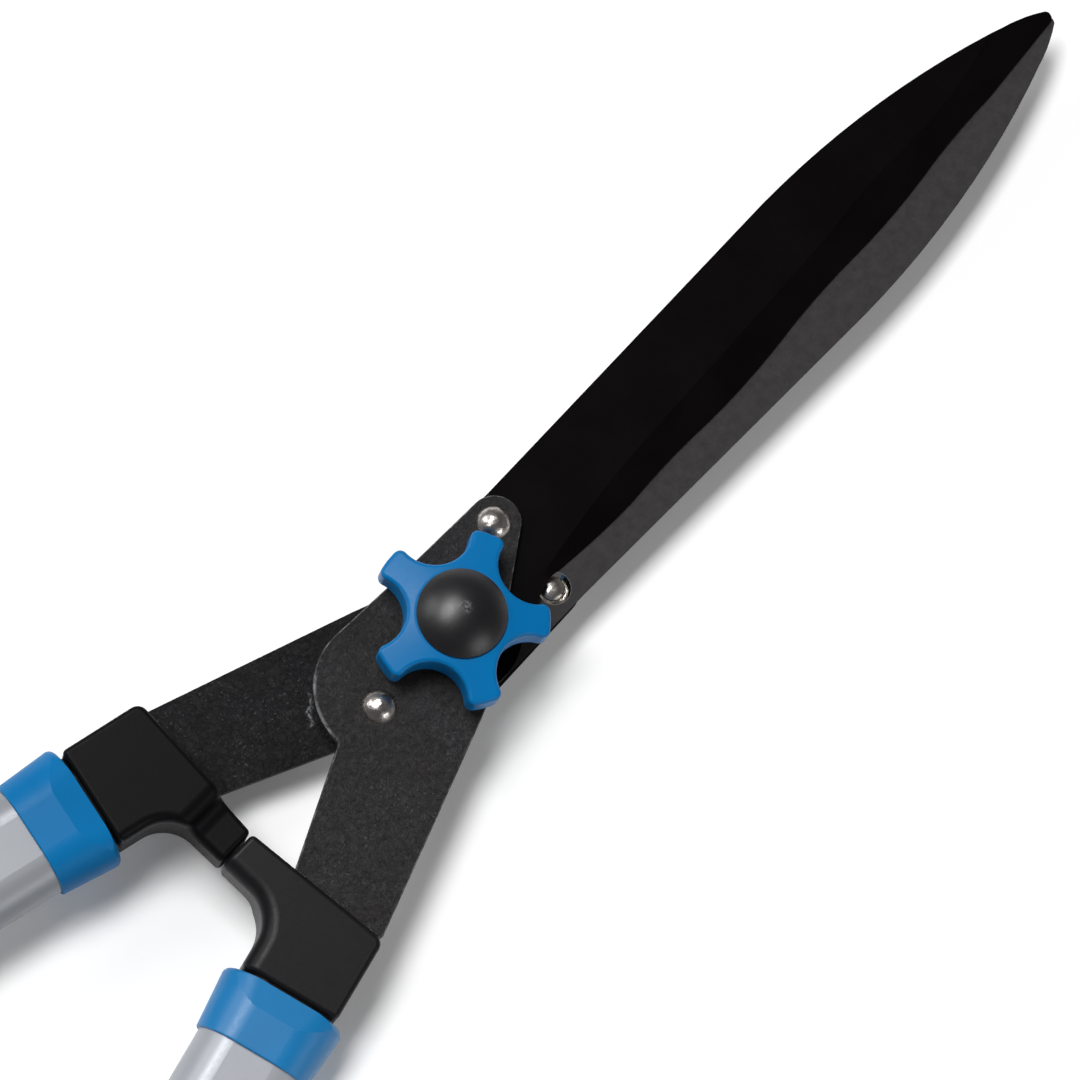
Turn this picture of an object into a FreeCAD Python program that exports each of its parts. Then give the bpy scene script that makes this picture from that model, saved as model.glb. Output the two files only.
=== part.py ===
import FreeCAD, Part
import math
import os
import Sketcher
from FreeCAD import Placement, Rotation, Vector

os.makedirs("parts", exist_ok=True)

# Driving dimensions in millimetres and degrees.
# +X runs from the pivot to the blade tips, +Z is up, and the blades touch at z = 0.
SIZES = {
    "blade_reach": 272.5,
    "blade_half_width": 22.2,
    "blade_root_width": 19.8,
    "blade_root_reach": 36.0,
    "blade_thickness": 3.0,
    "plate_gap": 0.1,
    "belly_setback": 112.5,
    "belly_radius": 329.0,
    "nose_setback": 14.5,
    "nose_width": 7.8,
    "nose_radius": 54.0,
    "tip_spine_width": 2.3,
    "tip_edge_width": 0.9,
    "tip_radius": 2.0,
    "edge_start": 30.0,
    "edge_depth": 11.4,
    "wave_run_out": 34.3,
    "wave_radius": 250.0,
    "bevel_width": 10.0,
    "cutting_edge_thickness": 0.7,
    "tang_radius": 20.0,
    "tang_shoulder_degrees": 50.0,
    "tang_throat_degrees": 40.0,
    "tang_tail_width": 18.0,
    "tang_tail_radius": 9.5,
    "bracket_thickness": 3.0,
    "bracket_nose_reach": 55.6,
    "bracket_nose_width": 19.6,
    "bracket_nose_radius": 7.6,
    "bracket_waist_width": 20.8,
    "bracket_back_width": 23.0,
    "bracket_head_reach": 47.3,
    "bracket_head_radius": 20.8,
    "bracket_neck_width": 0.3,
    "bracket_heel_reach": 6.2,
    "bracket_heel_depth": 20.6,
    "bracket_heel_radius": 14.0,
    "arm_inner_depth": 15.5,
    "arm_outer_depth": 45.9,
    "arm_bend_reach": 15.0,
    "arm_bend_depth": 23.9,
    "small_corner_radius": 1.2,
    "bracket_edge_break": 0.35,
    "tang_inset": 4.0,
    "tang_length": 20.0,
    "rivet_front_reach": 30.2,
    "rivet_front_width": 12.5,
    "rivet_rear_reach": 31.9,
    "rivet_rear_depth": 0.7,
    "rivet_shank_radius": 3.0,
    "rivet_head_radius": 5.0,
    "rivet_head_height": 2.9,
    "rivet_sink_radius": 4.9,
    "rivet_sink_depth": 1.7,
    "rivet_tail_radius": 3.3,
    "rivet_tail_recess": 0.3,
    "rivet_tail_rim": 1.0,
    "splay_degrees": 13.2,
    "handle_drop": 3.0,
    "ferrule_front": 79.2,
    "ferrule_height": 22.0,
    "ferrule_rear_reach": 107.4,
    "ferrule_rear_depth": 37.6,
    "ferrule_width": 29.8,
    "ferrule_front_depth": 46.6,
    "ferrule_edge_radius": 1.4,
    "ferrule_inner_radius": 4.5,
    "ferrule_corner_radius": 3.2,
    "bumper_front": 82.9,
    "bumper_rear": 94.6,
    "bumper_gap": 0.6,
    "bumper_fillet_radius": 11.0,
    "bumper_step_start": 17.5,
    "bumper_step_run": 9.0,
    "spigot_length": 32.0,
    "tube_width": 32.4,
    "tube_height": 20.0,
    "tube_wall": 1.5,
    "tube_length": 246.0,
    "tube_setback": 1.0,
    "fit_clearance": 0.05,
    "collar_gap": 0.9,
    "collar_length": 18.2,
    "collar_front_width": 37.4,
    "collar_front_height": 25.6,
    "collar_taper_degrees": 4.7,
    "collar_front_radius": 1.8,
    "collar_rear_radius": 0.5,
    "scoop_length": 7.4,
    "scoop_bite": 2.2,
    "scoop_side_room": 1.3,
    "pin_radius": 2.0,
    "pin_station": 13.0,
    "grip_length": 122.0,
    "grip_front_width": 36.0,
    "grip_front_height": 24.6,
    "grip_waist_width": 35.0,
    "grip_waist_height": 23.6,
    "grip_palm_width": 38.0,
    "grip_palm_height": 27.6,
    "grip_neck_width": 36.0,
    "grip_neck_height": 25.0,
    "grip_end_width": 42.0,
    "grip_end_height": 28.0,
    "grip_ring_length": 8.0,
    "grip_ring_width": 40.0,
    "grip_ring_height": 28.0,
    "grip_ring_radius": 2.4,
    "cap_flange_length": 5.0,
    "cap_plug_length": 14.0,
    "cap_edge_radius": 2.2,
    "eye_width": 20.0,
    "eye_thickness": 9.0,
    "eye_reach": 8.0,
    "eye_hole_radius": 3.5,
    "bolt_radius": 4.0,
    "bolt_head_radius": 10.5,
    "bolt_head_height": 4.6,
    "bolt_head_flat_radius": 5.5,
    "bolt_head_rim": 1.2,
    "bolt_end_height": 1.2,
    "bolt_neck_side": 8.0,
    "bush_radius": 6.0,
    "bush_shortfall": 0.1,
    "running_clearance": 0.05,
    "washer_radius": 12.0,
    "washer_thickness": 1.6,
    "spring_washer_radius": 9.0,
    "spring_washer_thickness": 1.0,
    "spring_washer_rise": 0.4,
    "knob_radius": 25.6,
    "knob_turn_degrees": 59.6,
    "knob_foot_radius": 11.0,
    "knob_foot_height": 0.5,
    "knob_rim_height": 8.0,
    "knob_hub_radius": 13.4,
    "knob_hub_height": 10.2,
    "knob_edge_radius": 1.3,
    "knob_corner_radius": 2.2,
    "knob_underside_radius": 0.6,
    "knob_bore_clearance": 0.3,
    "scallop_radius": 10.5,
    "scallop_floor": 15.2,
    "nut_flats": 13.0,
    "nut_height": 6.5,
    "nut_lift": 1.2,
    "cap_radius": 12.8,
    "cap_rim_height": 0.9,
    "cap_dome_height": 5.3,
    "cap_socket_radius": 10.0,
    "cap_socket_depth": 1.5,
    "overrun": 5.0,
}

# Depth of the cutting edge at each end of a half wave, from root to tip, as shares of edge_depth.
EDGE_DEPTH_SHARES = (0.82, 0.99, 0.965, 0.845, 0.70, 0.535, 0.325)
# Where the grip's sections stand along its length, from its front.
GRIP_STATION_SHARES = (0.0, 0.2, 0.55, 0.86, 1.0)
LOBES = 5
# Where the bevel runs out at the blade's root and tip, as a share of a half wave.
BEVEL_RUN_SHARE = 0.3
# How near, as a share of its length, an edge lies to the corner that names it.
TINY_SHARE = 0.01


class Size:
    """A number that remembers how it is worked out from the sheet."""

    def __init__(self, number, text):
        self.number = float(number)
        self.text = text

    def _join(self, other, sign, number):
        return Size(number, f"({self.text} {sign} {as_size(other).text})")

    def __add__(self, other):
        return self._join(other, "+", self.number + as_size(other).number)

    def __sub__(self, other):
        return self._join(other, "-", self.number - as_size(other).number)

    def __mul__(self, other):
        return self._join(other, "*", self.number * as_size(other).number)

    def __truediv__(self, other):
        return self._join(other, "/", self.number / as_size(other).number)

    def __neg__(self):
        return Size(-self.number, f"(0 - {self.text})")


def as_size(value):
    return value if isinstance(value, Size) else Size(value, repr(value))


def sine(angle):
    return Size(math.sin(math.radians(angle.number)), f"sin({angle.text})")


def cosine(angle):
    return Size(math.cos(math.radians(angle.number)), f"cos({angle.text})")


def square_root(value):
    return Size(math.sqrt(value.number), f"sqrt({value.text})")


ZERO = Size(0, "0")

doc = FreeCAD.newDocument("hedge_shears")
sheet = doc.addObject("Spreadsheet::Sheet", "Sizes")
for row, (name, number) in enumerate(SIZES.items(), start=1):
    sheet.set(f"A{row}", name)
    sheet.set(f"B{row}", str(number))
    sheet.setAlias(f"B{row}", name)
doc.recompute()


def size(name):
    return Size(sheet.get(name), f"Sizes.{name}")


# Heights of the stacked plates above the shear plane, for the upper half.
blade_inner = size("plate_gap") / 2
blade_outer = blade_inner + size("blade_thickness")
bracket_outer = blade_outer + size("bracket_thickness")
washer_base = bracket_outer + size("plate_gap")
washer_top = washer_base + size("washer_thickness")
spring_top = washer_top + size("spring_washer_thickness") + size("spring_washer_rise")
knob_base = spring_top + size("plate_gap")
star_base = knob_base + size("knob_foot_height")
hub_top = star_base + size("knob_hub_height")
nut_base = knob_base + size("nut_lift")
nut_top = nut_base + size("nut_height")

# Stations along a handle, measured back from the ferrule's rear face.
tube_end = size("tube_setback") + size("tube_length")
grip_start = tube_end - size("grip_length")
splay = size("splay_degrees")
bore_width = size("tube_width") - size("tube_wall") * 2
bore_height = size("tube_height") - size("tube_wall") * 2

UP = Vector(0, 0, 1)
TURNED_OVER = Placement(Vector(0, 0, 0), Rotation(Vector(1, 0, 0), 180))
back_along = Vector(-cosine(splay).number, -sine(splay).number, 0)
handle_offsets = (size("ferrule_rear_reach"), size("ferrule_rear_depth"), size("handle_drop"))
HANDLE = Placement(
    Vector(*[-offset.number for offset in handle_offsets]),
    Rotation(UP.cross(back_along), UP, back_along, "ZYX"),
)
# Turns a sketch's x and y to world Y and Z.
SIDEWAYS = Placement(Vector(0, 0, 0), Rotation(Vector(0, 1, 0), UP, Vector(1, 0, 0), "ZYX"))
# Turns a sketch's x and y to the handle's width and length.
LENGTHWISE = Rotation(Vector(1, 0, 0), Vector(0, 0, 1), Vector(0, -1, 0), "ZYX")

nodes = []


def keep(shape_object, label, half=None, frame=None):
    """Name a finished piece and note where it stands."""
    shape_object.Label = label
    placement = Placement() if half in (None, "upper") else TURNED_OVER
    if frame is not None:
        placement = placement.multiply(frame)
    nodes.append((shape_object, placement))
    return shape_object


def new_body(name):
    return doc.addObject("PartDesign::Body", name)


def new_sketch(body, name, height=ZERO, frame=None):
    """A sketch on the body's own XY plane, lifted by height or moved by a frame."""
    sketch = body.newObject("Sketcher::SketchObject", name)
    plane = [feature for feature in body.Origin.OriginFeatures if feature.Role == "XY_Plane"][0]
    sketch.AttachmentSupport = [(plane, "")]
    sketch.MapMode = "FlatFace"
    if frame is not None:
        sketch.AttachmentOffset = frame
    else:
        sketch.setExpression("AttachmentOffset.Base.z", height.text)
    return sketch


def bind(sketch, constraint, measure):
    index = sketch.addConstraint(constraint)
    sketch.setExpression(f"Constraints[{index}]", measure.text)


def pin_point(sketch, geometry, end, x, y):
    bind(sketch, Sketcher.Constraint("DistanceX", -1, 1, geometry, end, x.number), x)
    bind(sketch, Sketcher.Constraint("DistanceY", -1, 1, geometry, end, y.number), y)


def arc_between(start, end, radius, side):
    """The arc from start to end that bulges to its left (side 1) or right (side -1)."""
    chord = end - start
    reach = chord.Length / 2
    rise = radius - math.sqrt(max(radius * radius - reach * reach, 0))
    across = UP.cross(chord).normalize()
    return Part.Arc(start, (start + end) / 2 + across * rise * side, end)


def draw_outline(sketch, steps):
    """Draw a closed outline; each step is (x, y) or (x, y, radius, side) for an arc that ends there."""
    points = [Vector(step[0].number, step[1].number, 0) for step in steps]
    first = None
    previous = None
    for index, step in enumerate(steps):
        start = points[index - 1]
        end = points[index]
        if len(step) == 2:
            geometry = sketch.addGeometry(Part.LineSegment(start, end))
            first_end, last_end = 1, 2
        else:
            radius, side = step[2], step[3]
            arc = arc_between(start, end, radius.number, side)
            geometry = sketch.addGeometry(arc)
            bind(sketch, Sketcher.Constraint("Radius", geometry, radius.number), radius)
            to_start = [sketch.getPoint(geometry, tip).distanceToPoint(start) for tip in (1, 2)]
            first_end, last_end = (1, 2) if to_start[0] < to_start[1] else (2, 1)
        pin_point(sketch, geometry, last_end, step[0], step[1])
        if previous is not None:
            sketch.addConstraint(Sketcher.Constraint("Coincident", *previous, geometry, first_end))
        else:
            first = (geometry, first_end)
        previous = (geometry, last_end)
    sketch.addConstraint(Sketcher.Constraint("Coincident", *previous, *first))


def draw_circle(sketch, x, y, radius):
    circle = sketch.addGeometry(Part.Circle(Vector(x.number, y.number, 0), UP, radius.number))
    pin_point(sketch, circle, 3, x, y)
    bind(sketch, Sketcher.Constraint("Radius", circle, radius.number), radius)


def draw_flat_oval(sketch, width, height):
    """Two straight sides joined by round ends, centred on the sketch's origin."""
    reach = (width - height) / 2
    radius = height / 2
    ends = []
    for side in (1, -1):
        centre = Vector(side * reach.number, 0, 0)
        turn = math.pi / 2
        circle = Part.Circle(centre, UP, radius.number)
        start = -turn if side > 0 else turn
        arc = sketch.addGeometry(Part.ArcOfCircle(circle, start, start + math.pi))
        pin_point(sketch, arc, 3, reach * side, ZERO)
        bind(sketch, Sketcher.Constraint("Radius", arc, radius.number), radius)
        ends.append(arc)
    for near, far in ((0, 1), (1, 0)):
        start = sketch.getPoint(ends[near], 2)
        end = sketch.getPoint(ends[far], 1)
        line = sketch.addGeometry(Part.LineSegment(start, end))
        sketch.addConstraint(Sketcher.Constraint("Tangent", ends[near], 2, line, 1))
        sketch.addConstraint(Sketcher.Constraint("Tangent", line, 2, ends[far], 1))


def pad(body, sketch, length, reversed_way=False):
    feature = body.newObject("PartDesign::Pad", f"{sketch.Name}_pad")
    feature.Profile = sketch
    feature.setExpression("Length", length.text)
    feature.Reversed = reversed_way
    sketch.Visibility = False
    doc.recompute()
    return feature


def pocket(body, sketch, depth=None, reversed_way=False):
    """Cut a sketch out, to a depth or, with none given, through everything both ways."""
    before = body.Shape.Volume
    feature = body.newObject("PartDesign::Pocket", f"{sketch.Name}_pocket")
    feature.Profile = sketch
    feature.Reversed = reversed_way
    if depth is None:
        feature.Type = "ThroughAll"
        feature.Midplane = True
    else:
        feature.setExpression("Length", depth.text)
    doc.recompute()
    if body.Shape.Volume >= before:
        raise RuntimeError(f"{sketch.Name} cuts nothing")
    return feature


def revolve(body, name, profile):
    """Turn a closed profile of (radius, height) steps about the body's Z axis."""
    frame = Placement(Vector(0, 0, 0), Rotation(Vector(1, 0, 0), 90))
    sketch = new_sketch(body, name, frame=frame)
    draw_outline(sketch, profile)
    feature = body.newObject("PartDesign::Revolution", f"{name}_turned")
    feature.Profile = sketch
    feature.ReferenceAxis = (sketch, ["V_Axis"])
    feature.Angle = 360
    doc.recompute()
    return feature


def edges_where(shape, test):
    return [f"Edge{index}" for index, edge in enumerate(shape.Edges, start=1) if test(edge)]


def upright_at(x, y):
    """Test for the upright edge nearest to a corner of the outline."""
    corner = Vector(x.number, y.number, 0)

    def test(edge):
        ends = [Vector(vertex.X, vertex.Y, 0) for vertex in edge.Vertexes]
        return len(ends) == 2 and all(end.distanceToPoint(corner) < edge.Length * TINY_SHARE for end in ends)

    return test


def outside(radius, low, high):
    """Test for edges beyond a radius from the Z axis, between two heights."""

    def test(edge):
        box = edge.BoundBox
        within = box.ZMin > low.number and box.ZMax < high.number
        return within and all(math.hypot(vertex.X, vertex.Y) > radius.number for vertex in edge.Vertexes)

    return test


def upright_outside(radius):
    """Test for upright edges beyond a radius from the Z axis."""

    def test(edge):
        box = edge.BoundBox
        flat_size = max(box.XLength, box.YLength)
        far = all(math.hypot(vertex.X, vertex.Y) > radius.number for vertex in edge.Vertexes)
        return far and flat_size < edge.Length * TINY_SHARE

    return test


def at_height(height, tolerance):
    def test(edge):
        box = edge.BoundBox
        return abs(box.ZMin - height.number) < tolerance and abs(box.ZMax - height.number) < tolerance

    return test


def below(height):
    return lambda edge: edge.BoundBox.ZMax < height.number


def both(first, second):
    return lambda edge: first(edge) and second(edge)


def round_edges(body, name, radius, test, kind="Fillet"):
    base = body.Tip
    edges = edges_where(base.Shape, test)
    feature = body.newObject(f"PartDesign::{kind}", name)
    feature.Base = (base, edges)
    feature.setExpression("Radius" if kind == "Fillet" else "Size", radius.text)
    doc.recompute()
    if not edges or not feature.isValid():
        raise RuntimeError(f"{name} rounds {len(edges)} edges and is {feature.State}")
    return feature


def cut(name, base, *tools):
    for index, tool in enumerate(tools):
        result = doc.addObject("Part::Cut", f"{name}_cut{index}")
        result.Base = base
        result.Tool = tool
        base = result
    doc.recompute()
    return base


def edge_points():
    """Where the half waves of the cutting edge begin and end, from root to tip."""
    waved = size("blade_reach") - size("edge_start") - size("wave_run_out")
    chord = waved / (len(EDGE_DEPTH_SHARES) - 1)
    points = []
    for index, share in enumerate(EDGE_DEPTH_SHARES):
        points.append((size("edge_start") + chord * index, -size("edge_depth") * share))
    return points


def tip_base():
    """How far along the blade its small round tip begins."""
    radius, chord = size("tip_radius"), size("tip_spine_width") + size("tip_edge_width")
    return size("blade_reach") - radius + square_root(radius * radius - chord * chord / 4)


def build_blade(half):
    """A blade with its tang: spine arcs, waved cutting edge, ground bevel and countersunk rivet holes."""
    body = new_body(f"{half}_blade_body")
    outline = new_sketch(body, f"{half}_blade_outline", blade_inner)
    shoulder, throat = size("tang_shoulder_degrees"), size("tang_throat_degrees")
    tang = size("tang_radius")
    tail = size("tang_tail_width") / 2
    rivet_x, rivet_y = -size("rivet_rear_reach"), -size("rivet_rear_depth")
    steps = [
        (size("blade_root_reach"), size("blade_root_width")),
        (ZERO, tang),
        (-tang * sine(shoulder), tang * cosine(shoulder), tang, -1),
        (rivet_x, rivet_y + tail),
        (rivet_x, rivet_y - tail, size("tang_tail_radius"), -1),
        (-tang * sine(shoulder), -tang * cosine(shoulder)),
        (tang * sine(throat), -tang * cosine(throat), tang, -1),
    ]
    points = edge_points()
    steps.append(points[0])
    for index, point in enumerate(points[1:]):
        steps.append((*point, size("wave_radius"), -1 if index % 2 == 0 else 1))
    steps.append((tip_base(), -size("tip_edge_width")))
    steps.append((tip_base(), size("tip_spine_width"), size("tip_radius"), -1))
    reach = size("blade_reach")
    steps.append((reach - size("nose_setback"), size("nose_width"), size("nose_radius"), -1))
    steps.append((reach - size("belly_setback"), size("blade_half_width"), size("belly_radius"), -1))
    draw_outline(outline, steps)
    pad(body, outline, size("blade_thickness"))
    hole = new_sketch(body, f"{half}_blade_pivot_hole", blade_inner)
    draw_circle(hole, ZERO, ZERO, size("bush_radius") + size("running_clearance"))
    pocket(body, hole)
    for place, (x, y) in rivet_places().items():
        hole = new_sketch(body, f"{half}_blade_{place}_rivet_hole", blade_inner)
        draw_circle(hole, x, y, size("rivet_shank_radius") + size("fit_clearance"))
        pocket(body, hole)
    sinks = [build_sink(f"{half}_blade_{place}_sink", x, y) for place, (x, y) in rivet_places().items()]
    keep(cut(f"{half}_blade", body, build_bevel_wedge(half), *sinks), f"{half}_blade", half)


def rivet_places():
    return {
        "front": (size("rivet_front_reach"), size("rivet_front_width")),
        "rear": (-size("rivet_rear_reach"), -size("rivet_rear_depth")),
    }


def build_sink(name, x, y):
    """The countersink that a rivet's tail is formed into."""
    cone = doc.addObject("Part::Cone", name)
    cone.setExpression("Radius1", size("rivet_sink_radius").text)
    cone.setExpression("Radius2", size("rivet_tail_radius").text)
    cone.setExpression("Height", size("rivet_sink_depth").text)
    cone.setExpression("Placement.Base.x", x.text)
    cone.setExpression("Placement.Base.y", y.text)
    cone.setExpression("Placement.Base.z", blade_inner.text)
    return cone


def build_bevel_wedge(half):
    """What grinding takes off beside the cutting edge: triangles lofted along it."""
    top = blade_outer.number
    low = blade_inner.number + SIZES["cutting_edge_thickness"]
    width = SIZES["bevel_width"]
    past = SIZES["overrun"]
    stations = [(x.number, y.number) for x, y in edge_points()]
    stations.append((tip_base().number, -SIZES["tip_edge_width"]))
    stations.append((SIZES["blade_reach"] + past, -SIZES["tip_edge_width"]))
    sections = []
    for index, (x, y) in enumerate(stations):
        along = (index + BEVEL_RUN_SHARE) / (len(stations) + BEVEL_RUN_SHARE)
        inner = y + width * min(1.0, math.sin(math.pi * along) * 2)
        slope = (top - low) / (inner - y)
        corners = [
            Vector(x, inner + past, top + slope * past),
            Vector(x, y - past, top + slope * past),
            Vector(x, y - past, low - slope * past),
        ]
        sections.append(Part.makePolygon(corners + corners[:1]))
    wedge = doc.addObject("Part::Feature", f"{half}_bevel_wedge")
    wedge.Shape = Part.makeLoft(sections, True, False)
    return wedge


def on_front_line(depth):
    """The point of the ferrule's slanting front edge at this depth from the centre line."""
    lean = (size("bumper_front") - size("ferrule_front")) / size("ferrule_front_depth")
    return lean * depth - size("bumper_front"), -depth


def bracket_outline():
    """The bracket's corners before rounding: nose, head, arm and heel, then the tang in the ferrule."""
    return {
        "nose": (size("bracket_nose_reach"), size("bracket_nose_width")),
        "waist": (ZERO, size("bracket_waist_width")),
        "head": (-size("bracket_head_reach"), size("bracket_back_width")),
        "neck": (-size("bracket_head_reach"), size("bracket_neck_width")),
        "arm_inner": on_front_line(size("arm_inner_depth")),
        **tang_outline(),
        "arm_outer": on_front_line(size("arm_outer_depth")),
        "arm_bend": (-size("arm_bend_reach"), -size("arm_bend_depth")),
        "heel": (-size("bracket_heel_reach"), -size("bracket_heel_depth")),
    }


def tang_outline():
    """The narrower end of the arm, which the ferrule is moulded to hold."""
    inner = on_front_line(size("arm_inner_depth") + size("tang_inset"))
    outer = on_front_line(size("arm_outer_depth") - size("tang_inset"))
    along, across = size("tang_length") * cosine(splay), size("tang_length") * sine(splay)
    return {
        "tang_inner": inner,
        "tang_inner_end": (inner[0] - along, inner[1] - across),
        "tang_outer_end": (outer[0] - along, outer[1] - across),
        "tang_outer": outer,
    }


def build_bracket(half):
    """A pressed bracket that holds the blade and runs back into the ferrule."""
    body = new_body(f"{half}_bracket_body")
    outline = new_sketch(body, f"{half}_bracket_outline", blade_outer)
    corners = bracket_outline()
    draw_outline(outline, list(corners.values()))
    pad(body, outline, size("bracket_thickness"))
    for corner, radius in (
        ("nose", "bracket_nose_radius"),
        ("head", "bracket_head_radius"),
        ("heel", "bracket_heel_radius"),
        ("neck", "small_corner_radius"),
        ("arm_outer", "small_corner_radius"),
    ):
        round_edges(body, f"{half}_bracket_{corner}", size(radius), upright_at(*corners[corner]))
    outer_edges = at_height(bracket_outer, size("bracket_edge_break").number)
    round_edges(body, f"{half}_bracket_edge_break", size("bracket_edge_break"), outer_edges, "Chamfer")
    hole = new_sketch(body, f"{half}_bracket_pivot_hole", blade_outer)
    if half == "upper":
        draw_circle(hole, ZERO, ZERO, size("bolt_radius") + size("running_clearance"))
    else:
        draw_square(hole, size("bolt_neck_side"))
    pocket(body, hole)
    for place, (x, y) in rivet_places().items():
        hole = new_sketch(body, f"{half}_bracket_{place}_rivet_hole", blade_outer)
        draw_circle(hole, x, y, size("rivet_shank_radius") + size("fit_clearance"))
        pocket(body, hole)
    keep(body, f"{half}_bracket", half)


def draw_square(sketch, side):
    reach = side / 2
    draw_outline(sketch, [(reach, reach), (-reach, reach), (-reach, -reach), (reach, -reach)])


def build_rivets(half):
    """Both rivets of one half: domed head outside, shank, and tail formed in the countersink."""
    rivets = []
    for place, (x, y) in rivet_places().items():
        rivet = new_body(f"{half}_{place}_rivet")
        shank, head = size("rivet_shank_radius"), size("rivet_head_radius")
        tail, rise = size("rivet_tail_radius"), size("rivet_head_height")
        floor = blade_inner + size("rivet_sink_depth")
        tail_top = blade_inner + size("rivet_tail_recess")
        tail_rim = tail_top + size("rivet_tail_rim")
        profile = [
            (ZERO, tail_top),
            (tail, tail_rim, dome_radius(tail, size("rivet_tail_rim")), -1),
            (tail, floor),
            (shank, floor),
            (shank, bracket_outer),
            (head, bracket_outer),
            (ZERO, bracket_outer + rise, dome_radius(head, rise), -1),
        ]
        revolve(rivet, f"{half}_{place}_rivet_profile", profile)
        rivet.setExpression("Placement.Base.x", x.text)
        rivet.setExpression("Placement.Base.y", y.text)
        rivets.append(rivet)
    group = doc.addObject("Part::Compound", f"{half}_rivet_pair")
    group.Links = rivets
    doc.recompute()
    keep(group, f"{half}_rivets", half)


def dome_radius(radius, rise):
    """The radius of the round cap with this rim radius and rise."""
    return (radius * radius + rise * rise) / (rise * 2)


def ferrule_outline():
    """The ferrule's corners: rear face square to the handle, then the bumper arm to the centre line."""
    half_width = size("ferrule_width") / 2
    rear_x, rear_y = -size("ferrule_rear_reach"), -size("ferrule_rear_depth")
    inner_x, inner_y = rear_x - half_width * sine(splay), rear_y + half_width * cosine(splay)
    climb = (-size("bumper_rear") - inner_x) * sine(splay) / cosine(splay)
    stop = size("bumper_gap") / 2
    return {
        "front_outer": on_front_line(size("ferrule_front_depth")),
        "rear_outer": (rear_x + half_width * sine(splay), rear_y - half_width * cosine(splay)),
        "rear_inner": (inner_x, inner_y),
        "bumper_root": (-size("bumper_rear"), inner_y + climb),
        "bumper_rear": (-size("bumper_rear"), -stop),
        "bumper_front": on_front_line(stop),
    }


def along_inside(edge):
    """Test for edges of the ferrule's inner side, from the handle round to the bumper's end."""
    inner = ferrule_outline()
    (rear_x, rear_y), (root_x, root_y) = inner["rear_inner"], inner["bumper_root"]
    away = Vector(root_x.number - rear_x.number, root_y.number - rear_y.number, 0)
    for vertex in edge.Vertexes:
        place = Vector(vertex.X - rear_x.number, vertex.Y - rear_y.number, 0)
        off_side = place.distanceToLine(Vector(0, 0, 0), away)
        off_rear = abs(vertex.X - root_x.number)
        if min(off_side, off_rear) > size("fit_clearance").number:
            return False
    return True


def build_ferrule(half):
    """The moulded ferrule: bumper arm, slot that holds the bracket's tang, and spigot for the tube."""
    body = new_body(f"{half}_ferrule_body")
    base = -size("handle_drop") - size("ferrule_height") / 2
    top = base + size("ferrule_height")
    outline = new_sketch(body, f"{half}_ferrule_outline", base)
    corners = ferrule_outline()
    draw_outline(outline, list(corners.values()))
    pad(body, outline, size("ferrule_height"))
    for corner, radius in (("bumper_root", "bumper_fillet_radius"), ("front_outer", "ferrule_corner_radius")):
        round_edges(body, f"{half}_ferrule_{corner}", size(radius), upright_at(*corners[corner]))
    # The bumper arm is as deep above the shear plane as below it, so the two halves meet squarely.
    step = top + base
    run = size("bumper_step_run")
    sweep = (run * run + step * step) / (-step * 4)
    start = -size("bumper_step_start")
    past = base - size("overrun")
    relief = new_sketch(body, f"{half}_ferrule_relief", frame=SIDEWAYS)
    draw_outline(relief, [
        (start, past),
        (start, base),
        (start + run / 2, base - step / 2, sweep, -1),
        (start + run, -top, sweep, 1),
        (size("overrun"), -top),
        (size("overrun"), past),
    ])
    pocket(body, relief)
    inner_radius, edge_radius = size("ferrule_inner_radius"), size("ferrule_edge_radius")
    high = at_height(top, edge_radius.number * TINY_SHARE)
    low = below(-size("handle_drop"))
    round_edges(body, f"{half}_ferrule_high_inside", inner_radius, both(high, along_inside))
    round_edges(body, f"{half}_ferrule_low_inside", edge_radius * 2, both(low, along_inside))
    round_edges(body, f"{half}_ferrule_high_edges", edge_radius, high)
    flat = at_height(base, edge_radius.number * TINY_SHARE)
    round_edges(body, f"{half}_ferrule_low_edges", edge_radius, flat)
    slot = new_sketch(body, f"{half}_ferrule_slot", blade_outer)
    tang = list(tang_outline().values())
    mouth = -size("ferrule_front") + size("overrun")
    draw_outline(slot, [(mouth, tang[0][1]), *tang, (mouth, tang[-1][1])])
    pocket(body, slot, size("bracket_thickness"), reversed_way=True)
    frame = HANDLE.multiply(Placement(UP * -edge_radius.number, Rotation()))
    spigot = new_sketch(body, f"{half}_ferrule_spigot", frame=frame)
    play = size("fit_clearance") * 2
    draw_flat_oval(spigot, bore_width - play, bore_height - play)
    pad(body, spigot, size("spigot_length") + edge_radius)
    pin_hole = build_pin(f"{half}_ferrule_pin_hole", size("fit_clearance"), HANDLE)
    keep(cut(f"{half}_ferrule", body, pin_hole), f"{half}_ferrule", half)


def build_pin(name, clearance=ZERO, frame=None):
    """A round bar across the handle, through tube and spigot; with a clearance, the hole for it."""
    pin = doc.addObject("Part::Cylinder", name)
    pin.setExpression("Radius", (size("pin_radius") + clearance).text)
    pin.setExpression("Height", size("tube_height").text)
    station = Vector(0, size("tube_height").number / 2, size("pin_station").number)
    across = Placement(station, Rotation(Vector(1, 0, 0), 90))
    pin.Placement = across if frame is None else frame.multiply(across)
    return pin


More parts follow.
